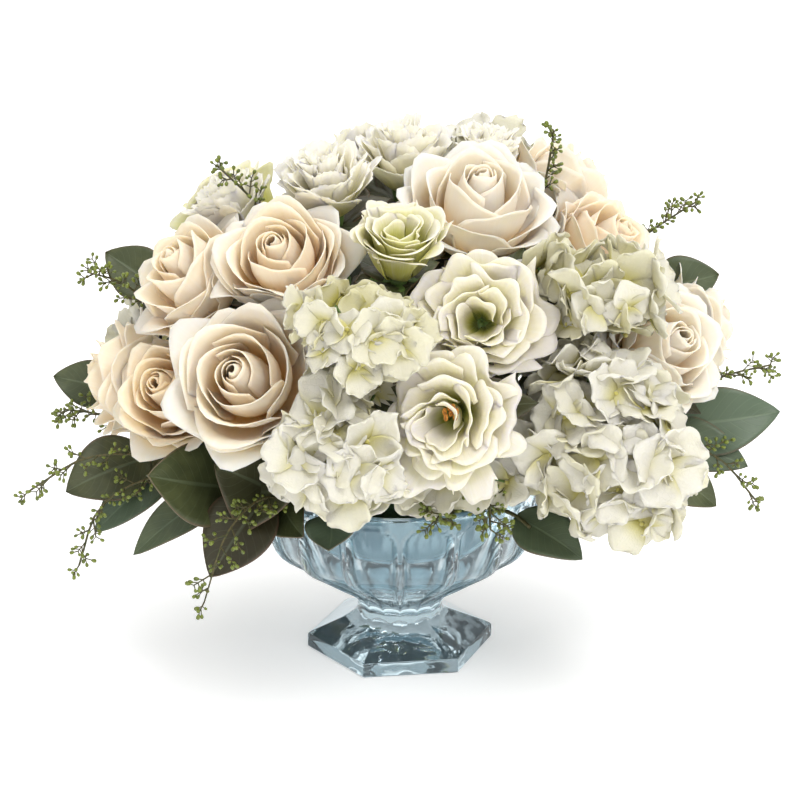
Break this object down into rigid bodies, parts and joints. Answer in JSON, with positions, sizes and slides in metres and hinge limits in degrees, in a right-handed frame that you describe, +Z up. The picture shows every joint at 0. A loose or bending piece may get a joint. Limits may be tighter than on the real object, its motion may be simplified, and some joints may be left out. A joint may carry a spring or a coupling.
{
  "type": "floral table centerpiece in a footed glass bowl",
  "caption": "Low domed arrangement of white and cream blooms with leafy and seeded eucalyptus, standing in wet foam in a footed bowl of pressed glass.",
  "frame": {"origin": "middle of the underside of the bowl's foot, on the table", "axes": "+Z up the middle line of the bowl, -Y towards the front of the arrangement, +X to the right seen from the front"},
  "size_m": [0.4458, 0.3533, 0.3295],
  "materials": {
    "bowl_glass": "clear pressed glass with a pale blue cast, fire polished",
    "dish_plastic": "thin frosted plastic, pale blue-white",
    "wet_foam": "dark green wet floral foam, open and grainy",
    "rose_petal": "cream petals with peach folds, velvety",
    "carnation_petal": "white ruffled petals, matt",
    "lisianthus_petal": "thin creamy white petals, greenish at the base",
    "hydrangea_sepal": "white veined sepals with yellow-green middles",
    "eucalyptus_leaf": "grey-green waxy leaf with a faint bloom",
    "eucalyptus_berry": "olive green seed pods on thin brown-green twigs"
  },
  "bodies": {
    "root": {"carnation_1": "carnation_petal", "carnation_2": "carnation_petal", "carnation_3": "carnation_petal", "carnation_4": "carnation_petal", "carnation_5": "carnation_petal", "eucalyptus_1": "eucalyptus_leaf", "eucalyptus_10": "eucalyptus_leaf", "eucalyptus_11": "eucalyptus_leaf", "eucalyptus_12": "eucalyptus_leaf", "eucalyptus_13": "eucalyptus_leaf", "eucalyptus_2": "eucalyptus_leaf", "eucalyptus_3": "eucalyptus_leaf", "eucalyptus_4": "eucalyptus_leaf", "eucalyptus_5": "eucalyptus_leaf", "eucalyptus_6": "eucalyptus_leaf", "eucalyptus_7": "eucalyptus_leaf", "eucalyptus_8": "eucalyptus_leaf", "eucalyptus_9": "eucalyptus_leaf", "foam_block": "wet_foam", "foam_dish": "dish_plastic", "glass_bowl": "bowl_glass", "hydrangea_1": "hydrangea_sepal", "hydrangea_2": "hydrangea_sepal", "hydrangea_3": "hydrangea_sepal", "hydrangea_4": "hydrangea_sepal", "hydrangea_5": "hydrangea_sepal", "hydrangea_6": "hydrangea_sepal", "lisianthus_1": "lisianthus_petal", "lisianthus_2": "lisianthus_petal", "lisianthus_3": "lisianthus_petal", "lisianthus_4": "lisianthus_petal", "lisianthus_5": "lisianthus_petal", "rose_1": "rose_petal", "rose_10": "rose_petal", "rose_11": "rose_petal", "rose_12": "rose_petal", "rose_13": "rose_petal", "rose_2": "rose_petal", "rose_3": "rose_petal", "rose_4": "rose_petal", "rose_5": "rose_petal", "rose_6": "rose_petal", "rose_7": "rose_petal", "rose_8": "rose_petal", "rose_9": "rose_petal", "seeded_1": "eucalyptus_berry", "seeded_10": "eucalyptus_berry", "seeded_11": "eucalyptus_berry", "seeded_12": "eucalyptus_berry", "seeded_13": "eucalyptus_berry", "seeded_14": "eucalyptus_berry", "seeded_2": "eucalyptus_berry", "seeded_3": "eucalyptus_berry", "seeded_4": "eucalyptus_berry", "seeded_5": "eucalyptus_berry", "seeded_6": "eucalyptus_berry", "seeded_7": "eucalyptus_berry", "seeded_8": "eucalyptus_berry", "seeded_9": "eucalyptus_berry"}
  },
  "joints": []
}
